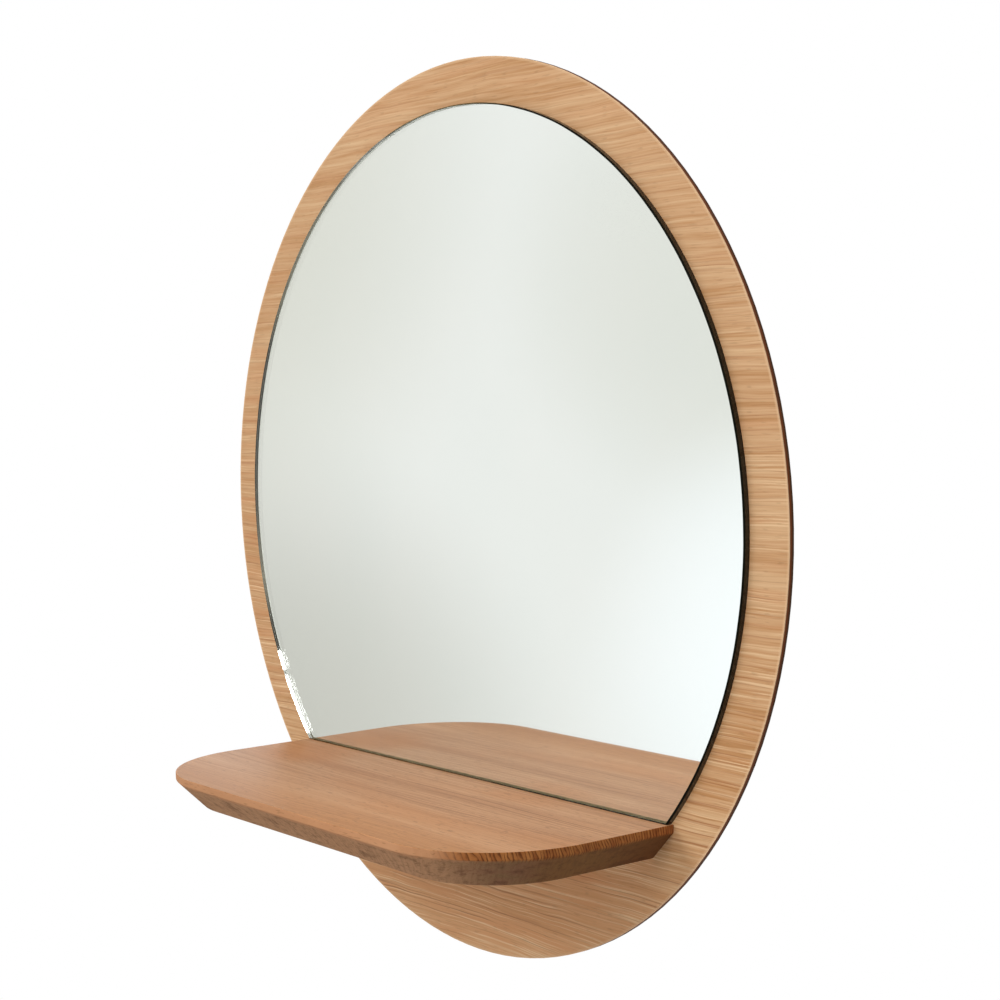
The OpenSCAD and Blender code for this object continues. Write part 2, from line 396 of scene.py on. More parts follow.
# %% Veneer pattern
def oak_veneer(name, shift, ramp, figured):
    """Sliced oak veneer with a level grain. shift moves the pattern, so that no two faces match, and
    figured, from 0 to 1, says how much of the warm streaks and pale threads it shows."""
    made, tree = new_material(name)
    here = place_in_mm(tree)
    spot = add(tree, "ShaderNodeVectorMath", {0: here, 1: shift}).outputs[0]
    split = add(tree, "ShaderNodeSeparateXYZ", {0: spot})
    wander = stretched_noise(tree, spot, (260, 0, 90))
    ripple = stretched_noise(tree, spot, (40, 0, 14))
    height = sum_of(tree, split.outputs["Z"], (wander, 13.0, 0.5), (ripple, 1.8, 0.5))
    grain = add(tree, "ShaderNodeCombineXYZ", {"X": split.outputs["X"], "Z": height}).outputs[0]

    bands = stretched_noise(tree, grain, (700, 0, 20), 2.0)
    streaks = stretched_noise(tree, grain, (180, 0, 2.7), 3.0, 0.62)
    fibres = stretched_noise(tree, grain, (30, 0, 0.8), 2.0)
    at = add(tree, "ShaderNodeSeparateXYZ", {0: here}).outputs  # the place before the shift
    lively = add(
        tree, "ShaderNodeMapRange",
        {"Value": at["Z"], "From Min": -330.0, "From Max": -230.0, "To Min": 1.35, "To Max": 0.70}
    ).outputs["Result"]
    swing = sum_of(tree, 0.0, (bands, 0.48, 0.5), (streaks, 0.90, 0.5), (fibres, 0.42, 0.5))
    tone = add(tree, "ShaderNodeMath", {0: swing, 1: lively, 2: 0.5}, operation="MULTIPLY_ADD").outputs[0]
    colour = add(tree, "ShaderNodeValToRGB", {"Fac": tone}, stops=ramp).outputs[0]

    near_foot = add(
        tree, "ShaderNodeMapRange",
        {
            "Value": at["Z"], "From Min": 60.0, "From Max": -310.0, "To Min": 0.16 * figured,
            "To Max": 0.80 * figured
        }
    ).outputs["Result"]
    on_right = add(
        tree, "ShaderNodeMapRange", {"Value": at["X"], "From Min": 40.0, "From Max": 150.0}
    ).outputs["Result"]
    rosy = sum_of(tree, stretched_noise(tree, grain, (110, 0, 8)), (on_right, -0.16, 0.0))
    colour = stain(tree, colour, rosy, 0.42, 0.70, "#CB8859", near_foot)
    colour = stain(tree, colour, at["Z"], -60.0, -240.0, "#C0854A", 0.12 * figured)
    # Painted light: below the shelf the veneer is painted paler and warmer, lifting the shade that the
    # shelf throws.
    colour = stain(tree, colour, at["Z"], -270.0, -330.0, "#E6AE7C", 0.6 * figured)
    colour = stain(tree, colour, split.outputs["X"], -20.0, -170.0, "#B58C60", 0.22 * figured)

    shaken = sum_of(tree, height, (stretched_noise(tree, spot, (22, 0, 30), 0.0), 1.0, 0.5))
    shaken = add(tree, "ShaderNodeCombineXYZ", {"X": split.outputs["X"], "Z": shaken}).outputs[0]
    patchy = stretched_noise(tree, grain, (60, 0, 16))
    patchy = add(
        tree, "ShaderNodeMapRange", {"Value": patchy, "From Min": 0.36, "From Max": 0.58, "To Min": 0.25}
    ).outputs["Result"]
    strength = add(tree, "ShaderNodeMath", {0: patchy, 1: near_foot}, operation="MULTIPLY").outputs[0]
    for length, width in ((110, 1.1), (60, 0.8)):
        thread = stretched_noise(tree, shaken, (length, 0, width), 0.0)
        colour = stain(tree, colour, thread, 0.60, 0.72, "#F2D0A4", strength)
    line = stretched_noise(tree, shaken, (140, 0, 1.15), 1.0)
    strength = add(
        tree, "ShaderNodeMath", {0: near_foot, 1: 0.60, 2: 0.09 * figured}, operation="MULTIPLY_ADD"
    ).outputs[0]
    colour = stain(tree, colour, line, 0.54, 0.72, "#8E4C1E", strength)

    # Pores are 0.2 mm wide, too fine for the render, so they are drawn 0.7 mm wide and fainter.
    pore = stretched_noise(tree, grain, (9, 0, 0.7), 0.0)
    colour = stain(tree, colour, pore, 0.66, 0.76, "#8E6844", 0.22)

    relief = sum_of(tree, 0.0, (streaks, 0.6, 0.0), (pore, -0.3, 0.0))
    bump = add(tree, "ShaderNodeBump", {"Height": relief, "Strength": 0.25, "Distance": 0.0001}).outputs[0]
    return made, tree, colour, bump, streaks


# %% [markdown]
# The board is cut out by heat, which leaves a brown edge through all three layers.
# On the face, the sanded rim shows as a thin paler line. Both follow the distance from the disc's middle,
# so they stay on the rim however the disc is looked at.

# %% Rim and edge
def rim_distance(tree):
    """How far a point lies from the middle of the disc, in millimetres."""
    spot = add(tree, "ShaderNodeVectorMath", {0: place_in_mm(tree), 1: (0, 0, -middle_z * 1000)}).outputs[0]
    flat = add(tree, "ShaderNodeVectorMath", {0: spot, 1: (1, 0, 1)}, operation="MULTIPLY").outputs[0]
    return add(tree, "ShaderNodeVectorMath", {0: flat}, operation="LENGTH").outputs["Value"]


def heat_cut(tree, spot, colour, inset_mm):
    """Over the outermost inset_mm the colour turns to burnt brown, reddish in front and greyer behind.
    The sanding of the face has taken the burn off the edge of the front veneer."""
    radius = rim_distance(tree)
    soot = stretched_noise(tree, spot, (14, 14, 14), 2.0)
    depth = add(tree, "ShaderNodeSeparateXYZ", {0: spot}).outputs["Y"]
    edge = stain(
        tree, linear("#7A3A0E"), sum_of(tree, depth, (soot, 0.8, 0.5)), face_mm + 1.1, face_mm + 2.1,
        "#4A2A10"
    )
    edge = stain(tree, edge, stretched_noise(tree, spot, (2.3, 9, 2.3)), 0.45, 0.75, "#5A3014", 0.35)
    edge = stain(tree, edge, soot, 0.50, 0.70, "#4C2E17", 0.35)
    burnt = add(
        tree, "ShaderNodeMapRange",
        {"Value": radius, "From Min": rim_mm - inset_mm, "From Max": rim_mm - inset_mm / 3},
        interpolation_type="SMOOTHSTEP"
    )
    sanded = add(
        tree, "ShaderNodeMapRange", {"Value": depth, "From Min": face_mm + 0.35, "From Max": face_mm + 0.60}
    ).outputs["Result"]
    burnt = add(
        tree, "ShaderNodeMath", {0: burnt.outputs["Result"], 1: sanded}, operation="MULTIPLY"
    ).outputs[0]
    return add(tree, "ShaderNodeMix", {0: burnt, 6: colour, 7: edge}, data_type="RGBA").outputs[2]


def veneered_face(name, shift, ramp, figured):
    """A veneer with its sanded, paler rim and its heat-cut edge."""
    made, tree, colour, bump, streaks = oak_veneer(name, shift, ramp, figured)
    radius = rim_distance(tree)
    colour = stain(tree, colour, radius, rim_mm - 1.6, rim_mm - 0.8, "#E2BC92", 0.45)
    colour = stain(tree, colour, radius, rim_mm - 0.5, rim_mm - 0.1, "#EBC49A", 0.8)
    colour = heat_cut(tree, place_in_mm(tree), colour, 0.35)
    gloss = add(
        tree, "ShaderNodeMapRange", {"Value": streaks, "To Min": 0.58, "To Max": 0.72}
    ).outputs["Result"]
    skin = add(
        tree, "ShaderNodeBsdfPrincipled",
        {"Base Color": colour, "Roughness": gloss, "IOR": 1.5, "Specular IOR Level": 0.25, "Normal": bump}
    )
    add(tree, "ShaderNodeOutputMaterial", {"Surface": skin.outputs[0]})
    return made


honey = [(0.26, "#AB7B4D"), (0.40, "#C19061"), (0.50, "#CEA176"), (0.60, "#D7AF84"), (0.76, "#E2BF96")]
dress(veneered_face("oak_veneer_oiled", (31, 0, 12), honey, 1.0), "front_veneer")
raw = [(0.30, "#B08C64"), (0.42, "#C6A279"), (0.50, "#D2B088"), (0.58, "#DBBB94"), (0.72, "#E4C8A4")]
dress(veneered_face("oak_veneer_unfinished", (-270, 0, 88), raw, 0.3), "back_veneer")

# %% [markdown]
# ## The board's core
#
# Between the veneers lies a thin fibreboard. Only its cut edge shows, so it gets the same burnt edge,
# and the drilled bores, which nobody burns, keep the plain brown of pressed fibre.

# %% Core material
core, tree = new_material("fibreboard_heat_cut")
spot = place_in_mm(tree)
fibre = stretched_noise(tree, spot, (1.2, 0.8, 1.2), 2.0)
pressed = add(
    tree, "ShaderNodeValToRGB", {"Fac": fibre}, stops=[(0.3, "#8A6A48"), (0.7, "#A98A64")]
).outputs[0]
colour = heat_cut(tree, spot, pressed, 0.6)
bump = add(tree, "ShaderNodeBump", {"Height": fibre, "Strength": 0.3, "Distance": 0.0001}).outputs[0]
skin = add(
    tree, "ShaderNodeBsdfPrincipled",
    {"Base Color": colour, "Roughness": 0.7, "IOR": 1.5, "Specular IOR Level": 0.25, "Normal": bump}
)
add(tree, "ShaderNodeOutputMaterial", {"Surface": skin.outputs[0]})
dress(core, "board_core")

# %% [markdown]
# ## The mirror pane
#
# The pane is 4 mm float glass with a ground arris round its rim and silver on its back.
# The CAD solid has this shape, but its rim is made of straight facets, and a ground rim catches the light
# along its whole length. So the pane is built again here with a finer rim, in four rings of points,
# whose arris varies a little in width, as a pane held by hand against a belt grinder gets it.
# Five finishes share it: the polished front, the silver behind, the rough back arris, the smoothed rim
# and the ground front arris.

# %% Pane mesh
arc_steps, foot_steps = 900, 220


def rim_ring(inset, y, waver=0.0):
    """One closed ring of points round the pane, inset from its outline. It starts at the right corner of
    the foot and runs over the top. waver says by how much of itself the inset grows and shrinks."""
    points = []
    for i in range(arc_steps + foot_steps):
        on_arc = i < arc_steps
        share = i / arc_steps if on_arc else (i - arc_steps) / foot_steps
        turn = share * 2 * math.pi
        cut = inset * (
            1 + waver * (math.sin(7 * turn + 1) + math.sin(19 * turn) + 0.6 * math.sin(43 * turn + 2)) / 2.6
        )
        r, drop = glass_r - cut, foot_drop - cut
        corner = math.asin(drop / r)
        if on_arc:
            angle = -corner + share * (math.pi + 2 * corner)
            points.append((r * math.cos(angle), y, middle_z + r * math.sin(angle)))
        else:
            points.append(((2 * share - 1) * r * math.cos(corner), y, middle_z - drop))
    return points


# The silver lies 0.01 mm in front of its protective coat.
front_y, back_y = glass_low.y, glass_high.y - 0.00001
arris, back_arris = 0.0008, 0.0003
rings = [
    rim_ring(arris, front_y, waver=0.12),
    rim_ring(0.00002, front_y + arris),
    rim_ring(0.00002, back_y - back_arris),
    rim_ring(back_arris, back_y, waver=0.12),
]
count = len(rings[0])
faces = [tuple(range(count)), tuple(3 * count + i for i in reversed(range(count)))]
for k in range(3):
    for i in range(count):
        j = (i + 1) % count
        faces.append((k * count + i, (k + 1) * count + i, (k + 1) * count + j, k * count + j))
pane_mesh = bpy.data.meshes.new("mirror_pane")
pane_mesh.from_pydata([p for ring in rings for p in ring], [], faces)
for face in pane_mesh.polygons:
    strip = (face.index - 2) // count  # 0 is the front arris, 1 the rim and 2 the back arris
    face.material_index = face.index if face.index < 2 else 4 - strip
pane = bpy.data.objects.new("mirror_pane", pane_mesh)
scene.collection.objects.link(pane)
pane.visible_shadow = False  # lamplight passes through clear glass to the veneer beside it
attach(pane, "root")
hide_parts("mirror_glass")
print(
    "pane faces:", len(pane_mesh.polygons), "front normal:",
    [round(v, 2) for v in pane_mesh.polygons[0].normal]
)

# %% [markdown]
# Float glass is nearly colourless face on, and dark green along its length. Absorption inside the glass
# gives both: a few millimetres take next to nothing, and the long way from rim to rim takes all but green.
# The rim is smoothed: from outside it looks nearly black, because light that enters it is trapped,
# and from inside it throws the lamps back as glints. The front arris is ground: seen through the glass it
# is a pale line. From outside it is painted dark, grinding grime together with painted shade, and towards
# the left it turns olive-brown, a painted reflection of the shelf. By the shelf its inside is painted
# shade.
# Which of the two sides is seen is asked of the surface itself, so it holds from every direction.

# %% Polished front and silver
# The green of float glass only tells over a long way through it.
green_in_depth = {"Color": linear("#9FD6B4"), "Density": 4.0}

polished, tree = new_material("float_glass_polished")
smear = stretched_noise(tree, place_in_mm(tree), (60, 60, 25), 3.0)
clean = add(
    tree, "ShaderNodeMapRange",
    {"Value": smear, "From Min": 0.45, "From Max": 0.8, "To Min": 0.0, "To Max": 0.006}
).outputs["Result"]
skin = add(
    tree, "ShaderNodeBsdfPrincipled",
    {"Base Color": linear("#FFFFFF"), "Roughness": clean, "IOR": 1.52, "Transmission Weight": 1.0}
)
inner = add(tree, "ShaderNodeVolumeAbsorption", green_in_depth)
add(tree, "ShaderNodeOutputMaterial", {"Surface": skin.outputs[0], "Volume": inner.outputs[0]})

silver, tree = new_material("silver_behind_glass")
haze = stretched_noise(tree, place_in_mm(tree), (90, 90, 90), 2.0)
tint = add(tree, "ShaderNodeValToRGB", {"Fac": haze}, stops=[(0.3, "#F9FBF9"), (0.7, "#FBFCFA")]).outputs[0]
skin = add(tree, "ShaderNodeBsdfPrincipled", {"Base Color": tint, "Metallic": 1.0, "Roughness": 0.0})
add(tree, "ShaderNodeOutputMaterial", {"Surface": skin.outputs[0]})
print("silver reflects", [round(v, 2) for v in linear("#FBFCFA")[:3]])

# %% Back arris and rim
def two_sided(tree, outside, inside):
    """One colour for the outer side of the glass, another for the side seen through it."""
    through = add(tree, "ShaderNodeNewGeometry").outputs["Backfacing"]
    return add(tree, "ShaderNodeMix", {0: through, 6: outside, 7: inside}, data_type="RGBA").outputs[2]


back_arris_glass, tree = new_material("float_glass_rough_arris")
grit = stretched_noise(tree, place_in_mm(tree), (1.5, 1.5, 1.5), 2.0)
colour = add(
    tree, "ShaderNodeValToRGB", {"Fac": grit}, stops=[(0.3, "#5F6454"), (0.7, "#7C826F")]
).outputs[0]
rough = add(tree, "ShaderNodeMapRange", {"Value": grit, "To Min": 0.25, "To Max": 0.5}).outputs["Result"]
skin = add(
    tree, "ShaderNodeBsdfPrincipled",
    {"Base Color": colour, "Roughness": rough, "IOR": 1.52, "Transmission Weight": 0.25}
)
inner = add(tree, "ShaderNodeVolumeAbsorption", green_in_depth)
add(tree, "ShaderNodeOutputMaterial", {"Surface": skin.outputs[0], "Volume": inner.outputs[0]})

rim_glass, tree = new_material("float_glass_smoothed_rim")
spot = place_in_mm(tree)
# The belt runs along the rim, so the waves are long that way.
waves = stretched_noise(tree, spot, (5, 0.9, 5), 1.0)
scours = stretched_noise(tree, spot, (2.0, 0.7, 2.0), 2.0)
outside = add(
    tree, "ShaderNodeValToRGB", {"Fac": scours}, stops=[(0.3, "#0E1209"), (0.7, "#1C2314")]
).outputs[0]
inside = add(
    tree, "ShaderNodeValToRGB", {"Fac": scours}, stops=[(0.3, "#1C1C12"), (0.7, "#2E2F20")]
).outputs[0]
rough = add(tree, "ShaderNodeMapRange", {"Value": scours, "To Min": 0.06, "To Max": 0.02}).outputs["Result"]
polish = add(
    tree, "ShaderNodeMapRange",
    {"Value": scours, "From Min": 0.36, "From Max": 0.54, "To Min": 0.35, "To Max": 0.98}
).outputs["Result"]
wave_depth = 0.000015
bump = add(tree, "ShaderNodeBump", {"Height": waves, "Distance": wave_depth}).outputs[0]
skin = add(
    tree, "ShaderNodeBsdfPrincipled",
    {
        "Base Color": two_sided(tree, outside, inside), "Roughness": rough, "IOR": 1.52,
        "Transmission Weight": polish, "Normal": bump
    }
)
inner = add(tree, "ShaderNodeVolumeAbsorption", green_in_depth)
add(tree, "ShaderNodeOutputMaterial", {"Surface": skin.outputs[0], "Volume": inner.outputs[0]})
print("the rim's waves are up to", round(1000 * wave_depth, 3), "mm deep")

# %% Ground front arris
front_arris_glass, tree = new_material("float_glass_ground_arris")
spot = place_in_mm(tree)
grit = stretched_noise(tree, spot, (1.5, 1.5, 1.5), 2.0)
grime_and_painted_light = add(tree, "ShaderNodeValToRGB", {"Fac": grit}, stops=[(0.3, "#070703"), (0.7, "#141309")]).outputs[0]
split = add(tree, "ShaderNodeSeparateXYZ", {0: spot})
grime_and_painted_light = stain(tree, grime_and_painted_light, split.outputs["X"], 70.0, -40.0, "#6E5F3C")  # olive to the left: painted reflection of the shelf
inside = add(
    tree, "ShaderNodeValToRGB", {"Fac": grit}, stops=[(0.3, "#D9D9CC"), (0.7, "#EEEEE2")]
).outputs[0]
above_shelf = add(
    tree, "ShaderNodeMath", {0: split.outputs["Z"], 1: glass_low.z * 1000}, operation="SUBTRACT"
).outputs[0]
inside = stain(tree, inside, above_shelf, 5.0, 1.5, "#988B6B")  # painted shade of the shelf at the foot
rough = add(tree, "ShaderNodeMapRange", {"Value": grit, "To Min": 0.55, "To Max": 0.75}).outputs["Result"]
from_behind = add(tree, "ShaderNodeNewGeometry").outputs["Backfacing"]
clear = add(
    tree, "ShaderNodeMapRange", {"Value": above_shelf, "From Min": 1.5, "From Max": 5.0, "To Max": 0.9}
).outputs["Result"]
let_through = add(tree, "ShaderNodeMath", {0: from_behind, 1: clear}, operation="MULTIPLY").outputs[0]
skin = add(
    tree, "ShaderNodeBsdfPrincipled",
    {
        "Base Color": two_sided(tree, grime_and_painted_light, inside), "Roughness": rough, "IOR": 1.52,
        "Specular IOR Level": 0.05, "Transmission Weight": let_through
    }
)
inner = add(tree, "ShaderNodeVolumeAbsorption", green_in_depth)
add(tree, "ShaderNodeOutputMaterial", {"Surface": skin.outputs[0], "Volume": inner.outputs[0]})
for material in (polished, silver, back_arris_glass, rim_glass, front_arris_glass):
    pane_mesh.materials.append(material)
print("pane materials:", [m.name for m in pane_mesh.materials])

# %% [markdown]
# ## The mirror's back and its tape
#
# Behind the silver a mirror has a grey protective paint, rolled on and slightly uneven.
# Strips of thin double-sided tape hold it to the board. Their sides show as hairlines in the gap.
# Both could be one flat grey, but noise that is drawn out the way roller and tape ran takes two nodes more,
# and holds up when the pane is taken off and seen from behind.

# %% Coating and tape
paint, tree = new_material("grey_mirror_back_paint")
spot = place_in_mm(tree)
rolled = stretched_noise(tree, spot, (2.5, 2.5, 7), 3.0)
colour = add(
    tree, "ShaderNodeValToRGB", {"Fac": rolled}, stops=[(0.3, "#6E716F"), (0.7, "#80837F")]
).outputs[0]
bump = add(tree, "ShaderNodeBump", {"Height": rolled, "Strength": 0.3, "Distance": 0.0002}).outputs[0]
skin = add(
    tree, "ShaderNodeBsdfPrincipled", {"Base Color": colour, "Roughness": 0.45, "IOR": 1.5, "Normal": bump}
)
add(tree, "ShaderNodeOutputMaterial", {"Surface": skin.outputs[0]})
dress(paint, "mirror_coating")

tape, tree = new_material("acrylic_tape_pressed")
spot = place_in_mm(tree)
weave = stretched_noise(tree, spot, (1.5, 1.5, 4), 2.0)
colour = add(
    tree, "ShaderNodeValToRGB", {"Fac": weave}, stops=[(0.3, "#8A8A85"), (0.7, "#9C9C96")]
).outputs[0]
bump = add(tree, "ShaderNodeBump", {"Height": weave, "Strength": 0.2, "Distance": 0.0001}).outputs[0]
skin = add(
    tree, "ShaderNodeBsdfPrincipled", {"Base Color": colour, "Roughness": 0.5, "IOR": 1.47, "Normal": bump}
)
add(tree, "ShaderNodeOutputMaterial", {"Surface": skin.outputs[0]})
dress(tape, *[f"mirror_tape_{i}" for i in range(1, 6)])

# %% [markdown]
# ## Eased edges
#
# No planed board has knife edges: a stroke of sandpaper rounds them by about half a millimetre, and that
# small round catches a line of light. The CAD solids are left as they are, and modifiers do the sanding.
# The faces are joined, flat triangles are merged, a small node tree picks the long sharp edges and leaves
# drilled holes and the face against the board alone, and a bevel rounds what was picked.

# %% Edge tools
least_turn = math.radians(20)
least_length, board_gap = 0.0006, 0.0002  # metres
picker = bpy.data.node_groups.new("pick_edges_to_ease", "GeometryNodeTree")
picker.interface.new_socket("Geometry", in_out="INPUT", socket_type="NodeSocketGeometry")
picker.interface.new_socket("Geometry", in_out="OUTPUT", socket_type="NodeSocketGeometry")
solid = add(picker, "NodeGroupInput")
turn = add(picker, "GeometryNodeInputMeshEdgeAngle")
sharp = add(picker, "FunctionNodeCompare", {0: turn.outputs[0], 1: least_turn}, operation="GREATER_THAN")
ends = add(picker, "GeometryNodeInputMeshEdgeVertices")
length = add(
    picker, "ShaderNodeVectorMath", {0: ends.outputs["Position 1"], 1: ends.outputs["Position 2"]},
    operation="DISTANCE"
)
long = add(
    picker, "FunctionNodeCompare", {0: length.outputs["Value"], 1: least_length}, operation="GREATER_THAN"
)
depth = add(picker, "ShaderNodeSeparateXYZ", {0: add(picker, "GeometryNodeInputPosition").outputs[0]})
off_board = add(picker, "ShaderNodeMath", {0: depth.outputs["Y"], 1: -board_low.y}, operation="ADD")
off_board = add(picker, "ShaderNodeMath", {0: off_board.outputs[0]}, operation="ABSOLUTE")
free = add(picker, "FunctionNodeCompare", {0: off_board.outputs[0], 1: board_gap}, operation="GREATER_THAN")
picked = add(picker, "FunctionNodeBooleanMath", {0: sharp.outputs[0], 1: long.outputs[0]}, operation="AND")
picked = add(picker, "FunctionNodeBooleanMath", {0: picked.outputs[0], 1: free.outputs[0]}, operation="AND")
marked = add(
    picker, "GeometryNodeStoreNamedAttribute",
    {"Geometry": solid.outputs[0], "Name": "bevel_weight_edge", "Value": picked.outputs[0]},
    data_type="FLOAT", domain="EDGE"
)
shaded = add(
    picker, "GeometryNodeSetMeshNormal",
    {"Mesh": marked.outputs[0], "Remove Custom": True, "Edge Sharpness": sharp.outputs[0]}
)
add(picker, "NodeGroupOutput", {0: shaded.outputs[0]})


def ease_edges(name, radius, steps=3):
    piece = nodes[name]
    piece.modifiers.new("join", "WELD").merge_threshold = 0.000002
    merge = piece.modifiers.new("merge_flat", "DECIMATE")
    merge.decimate_type, merge.angle_limit = "DISSOLVE", math.radians(0.4)
    piece.modifiers.new("pick", "NODES").node_group = picker
    sand = piece.modifiers.new("sand", "BEVEL")
    sand.limit_method, sand.width, sand.segments = "WEIGHT", radius, steps
    sand.use_clamp_overlap, sand.harden_normals = False, True
    print("eased", name, "by", radius * 1000, "mm")


print("nodes that pick the edges:", len(picker.nodes))

# %% [markdown]
# ## Solid oak, planed and oiled
#
# The shelf is one oak board. Its growth rings stand nearly upright, so the top shows long fine lines,
# and the ends show them as short dark ticks side by side. End grain also drinks more oil and turns darker,
# and so, a little, does the sawn bevel. All these looks come from one pattern in space, the number of the
# ring at a point. The material only asks which way a surface faces, to choose between its colours.

# %% Ring pattern
shelf_top_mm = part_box("shelf")[1].z * 1000
ring_mm = 1.7
shelf_oak, tree = new_material("solid_oak_oiled")
spot = place_in_mm(tree)
split = add(tree, "ShaderNodeSeparateXYZ", {0: spot})
wander = stretched_noise(tree, spot, (260, 60, 60))
ripple = stretched_noise(tree, spot, (60, 12, 12))
growth = stretched_noise(tree, spot, (0, 7, 24), 2.0, 0.6)
slanted = sum_of(tree, split.outputs["Y"], (split.outputs["Z"], 0.18, 0.0))
across = sum_of(tree, slanted, (wander, 16.0, 0.5), (ripple, 2.0, 0.5), (growth, 4.0, 0.5))
ring = add(tree, "ShaderNodeMath", {0: across, 1: ring_mm}, operation="DIVIDE").outputs[0]
ring = add(tree, "ShaderNodeMath", {0: ring}, operation="FRACT").outputs[0]
grain = add(
    tree, "ShaderNodeCombineXYZ", {"X": split.outputs["X"], "Y": across, "Z": split.outputs["Z"]}
).outputs[0]
print("growth rings of the shelf:", ring_mm, "mm apart")

# %% Long grain and end grain
bands = stretched_noise(tree, grain, (500, 22, 60), 2.0)
streaks = stretched_noise(tree, grain, (120, 1.5, 8), 3.0, 0.6)
tone = sum_of(tree, 0.5, (bands, 0.65, 0.5), (streaks, 0.80, 0.5), (ring, 0.12, 0.5))
long_grain = add(
    tree, "ShaderNodeValToRGB", {"Fac": tone},
    stops=[(0.28, "#9D6D49"), (0.42, "#B0815D"), (0.50, "#BA8B66"), (0.60, "#C19470"), (0.74, "#CAA07E")]
).outputs[0]
long_grain = stain(
    tree, long_grain, stretched_noise(tree, grain, (140, 40, 40)), 0.50, 0.75, "#B87B4C", 0.45
)
# Painted reflection: near the left foot of the glass the top is painted a deeper orange, where its gloss
# mirrors the veneer ring.
painted_reflection_spot = (-128, -45, shelf_top_mm)  # the middle of the painted reflection
distance_to_painted_reflection = add(tree, "ShaderNodeVectorMath", {0: spot, 1: painted_reflection_spot}, operation="DISTANCE").outputs["Value"]
long_grain = stain(tree, long_grain, sum_of(tree, distance_to_painted_reflection, (streaks, 40.0, 0.5)), 48.0, 12.0, "#BC7840", 0.45)
# Painted shade: towards its front edge the top is painted darker and more orange, damping the sheen there.
long_grain = stain(tree, long_grain, split.outputs["Y"], -70.0, -140.0, "#B88050", 0.55)
# Painted sheen: the top is painted up to 1.16 times brighter towards its right end, standing in for
# lamplight its gloss reflects there.
painted_sheen_right = add(
    tree, "ShaderNodeMapRange",
    {"Value": split.outputs["X"], "From Min": -110.0, "From Max": 30.0, "To Min": 1.0, "To Max": 1.16}
)
long_grain = add(
    tree, "ShaderNodeVectorMath", {0: long_grain, "Scale": painted_sheen_right.outputs["Result"]}, operation="SCALE"
).outputs[0]
end_tone = stretched_noise(tree, grain, (30, 3, 14), 2.0)
end_grain = add(
    tree, "ShaderNodeValToRGB", {"Fac": end_tone}, stops=[(0.3, "#95552A"), (0.7, "#BC7A42")]
).outputs[0]
ticks = sum_of(tree, ring, (stretched_noise(tree, grain, (0, 1.1, 3)), 1.0, 0.5))
end_grain = stain(tree, end_grain, ticks, 0.48, 0.92, "#55290F", 0.78)
painted_sheen_gain = round(painted_sheen_right.inputs["To Max"].default_value, 2)
print("the top's right end is", painted_sheen_gain, "times as bright as its left end")

# %% [markdown]
# Below its short upright edge the shelf is sawn back at a slant. That face is duller and browner, with
# faint marks of the cutter running straight down it. Marks drawn along X would smear where the front turns
# into the ends. So they follow the angle round a point near the shelf's back, and turn with the corners.
# The flat underside is planed like the top, so there the long grain comes back.

# %% Cutter marks
facing = add(tree, "ShaderNodeSeparateXYZ", {0: add(tree, "ShaderNodeNewGeometry").outputs["Normal"]})
to_side = add(tree, "ShaderNodeMath", {0: facing.outputs["X"]}, operation="ABSOLUTE").outputs[0]
# In mm: how far the point lies in front of the wall, and the radius at which the marks are spaced.
point_depth, turn_r = 40.0, 130.0
forward = add(tree, "ShaderNodeMath", {0: split.outputs["Y"], 1: point_depth}, operation="ADD").outputs[0]
angle = add(tree, "ShaderNodeMath", {0: split.outputs["X"], 1: forward}, operation="ARCTAN2").outputs[0]
along = add(tree, "ShaderNodeMath", {0: angle, 1: turn_r}, operation="MULTIPLY").outputs[0]
round_corner = add(tree, "ShaderNodeCombineXYZ", {"X": along, "Z": split.outputs["Z"]}).outputs[0]
marks = stretched_noise(tree, round_corner, (1.7, 0, 9), 4.0, 0.65)
blotches = stretched_noise(tree, round_corner, (20, 0, 7), 4.0, 0.65)
print("cutter marks spaced on a radius of", turn_r, "mm")

# %% Sawn bevel
bevel_long = stain(tree, long_grain, facing.outputs["Z"], 0.6, -0.6, "#BA8F6D", 0.7)
bevel_end = add(
    tree, "ShaderNodeValToRGB", {"Fac": blotches}, stops=[(0.36, "#8E6C4A"), (0.64, "#94664C")]
).outputs[0]
bevel_end = stain(tree, bevel_end, to_side, 0.60, 0.72, "#855A2E", 0.8)
# Painted shade: the sawn ends darken towards the board, partly their own tone, partly the board's shade.
bevel_end = stain(tree, bevel_end, split.outputs["Y"], -75.0, -22.0, "#552B12", 0.5)
end_share = add(
    tree, "ShaderNodeMapRange", {"Value": to_side, "From Min": 0.22, "From Max": 0.60},
    interpolation_type="SMOOTHSTEP"
).outputs["Result"]
sawn = add(tree, "ShaderNodeMix", {0: end_share, 6: bevel_long, 7: bevel_end}, data_type="RGBA").outputs[2]
sawn = stain(tree, sawn, marks, 0.42, 0.70, "#60402A", 0.34)
mottle = stretched_noise(tree, round_corner, (4.5, 0, 3.0), 4.0, 0.75)
sawn = stain(tree, sawn, mottle, 0.50, 0.64, "#4A2817", 0.36)
sawn = stain(tree, sawn, blotches, 0.52, 0.66, "#55351F", 0.45)
planed_under = add(
    tree, "ShaderNodeMapRange", {"Value": facing.outputs["Z"], "From Min": -0.80, "From Max": -0.92}
).outputs["Result"]
sawn = add(tree, "ShaderNodeMix", {0: planed_under, 6: sawn, 7: long_grain}, data_type="RGBA").outputs[2]
turns_at = round(planed_under.node.inputs["From Min"].default_value, 2)
print("the underside begins where the upward part of the normal is below", turns_at)

# %% [markdown]
# The upright edge shows the long grain in front and the ticks of the end grain at the ends. Height alone
# could divide it from the bevel, but a cutter tears the fibres, so ticks and blotches make the line ragged.

